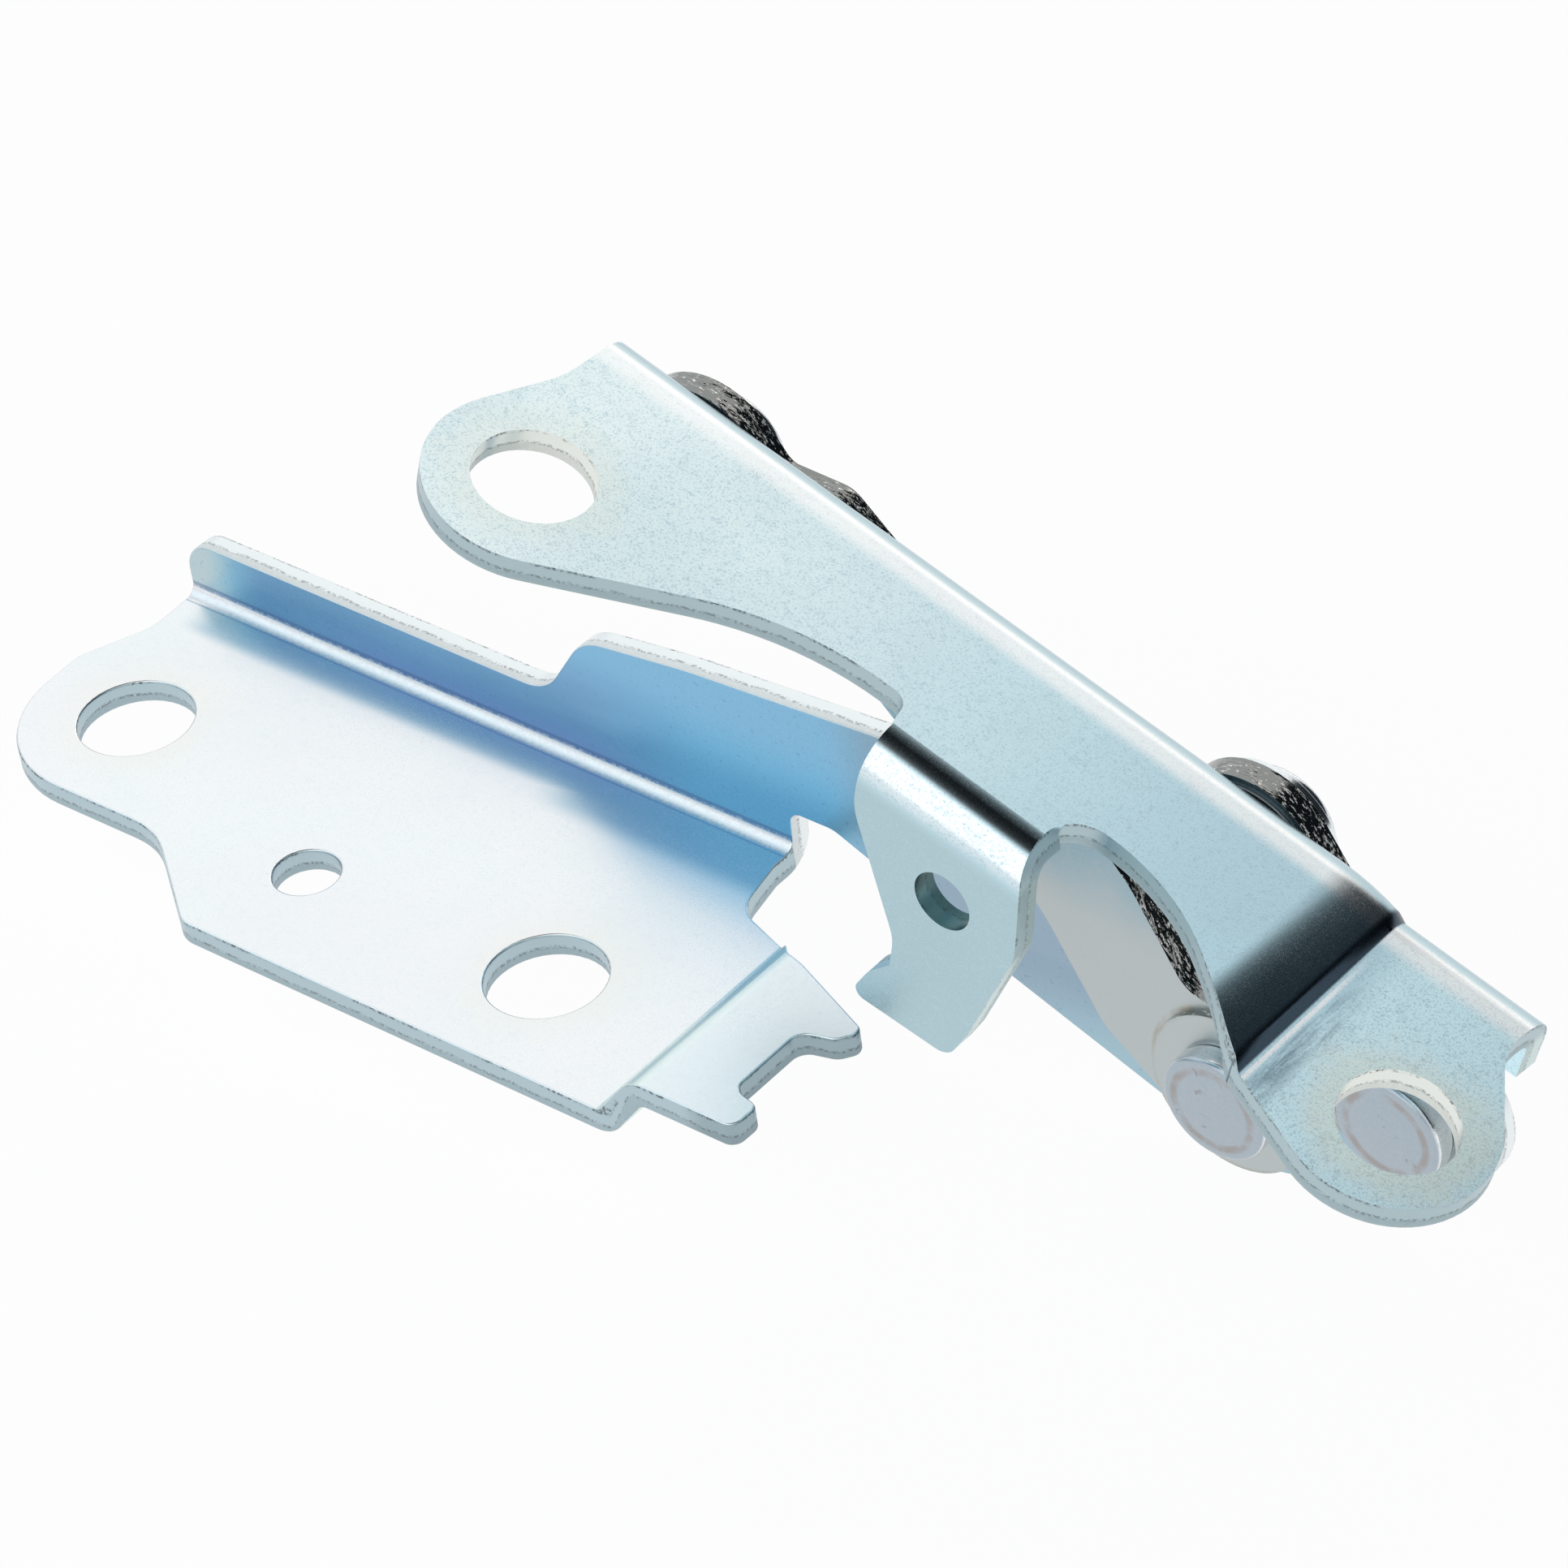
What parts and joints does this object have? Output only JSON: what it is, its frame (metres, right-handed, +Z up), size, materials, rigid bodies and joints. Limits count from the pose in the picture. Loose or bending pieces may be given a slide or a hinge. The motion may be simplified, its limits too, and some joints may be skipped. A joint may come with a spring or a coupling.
{
  "type": "hood hinge",
  "caption": "Left hood hinge of a car: a body bracket and a hood bracket folded from zinc-plated sheet, joined by two links.",
  "frame": {"origin": "midway between the two body bolt holes, on the face of the lower bracket that rests on the body", "axes": "+X along the fold towards the pivots, +Y across the base towards its upright flange, +Z up from the body"},
  "size_m": [0.2094, 0.0506, 0.0896],
  "materials": {
    "zinc_sheet": "bright zinc plate, faintly blue",
    "link_steel": "zinc plate over rough sheared edges",
    "rivet_steel": "zinc plate",
    "bush_steel": "plain"
  },
  "bodies": {
    "base": {"lower_bracket": "zinc_sheet", "front_lower_rivet": "rivet_steel", "front_lower_washer": "rivet_steel", "rear_lower_rivet": "rivet_steel", "rear_lower_washer": "rivet_steel"},
    "front_arm": {"front_link": "link_steel", "front_lower_bush": "bush_steel", "front_upper_bush": "bush_steel"},
    "rear_arm": {"rear_link": "link_steel", "rear_lower_bush": "bush_steel", "rear_upper_bush": "bush_steel"},
    "hood_bracket": {"upper_bracket": "zinc_sheet", "front_upper_rivet": "rivet_steel", "front_upper_washer": "rivet_steel", "rear_upper_rivet": "rivet_steel", "rear_upper_washer": "rivet_steel"}
  },
  "joints": [
    {"name": "front_link_swing", "type": "hinge", "parent": "base", "child": "front_arm", "pos_m": [0.1087, 0.02468, -0.0008], "axis": [0, 1, 0], "range_deg": [-6, 48]},
    {"name": "rear_link_swing", "type": "hinge", "parent": "base", "child": "rear_arm", "pos_m": [0.1315, 0.02468, 0.0068], "axis": [0, 1, 0], "range_deg": [-9.8, 78.1]},
    {"name": "hood_bracket_turn", "type": "hinge", "parent": "rear_arm", "child": "hood_bracket", "pos_m": [0.1136, 0.02128, 0.034], "axis": [0, 1, 0], "range_deg": [-47.2, 5.9]}
  ],
  "couplings": [
    {"joint": "rear_link_swing", "follows": "front_link_swing", "ratio": 1.6255},
    {"joint": "hood_bracket_turn", "follows": "front_link_swing", "ratio": -0.9814}
  ]
}
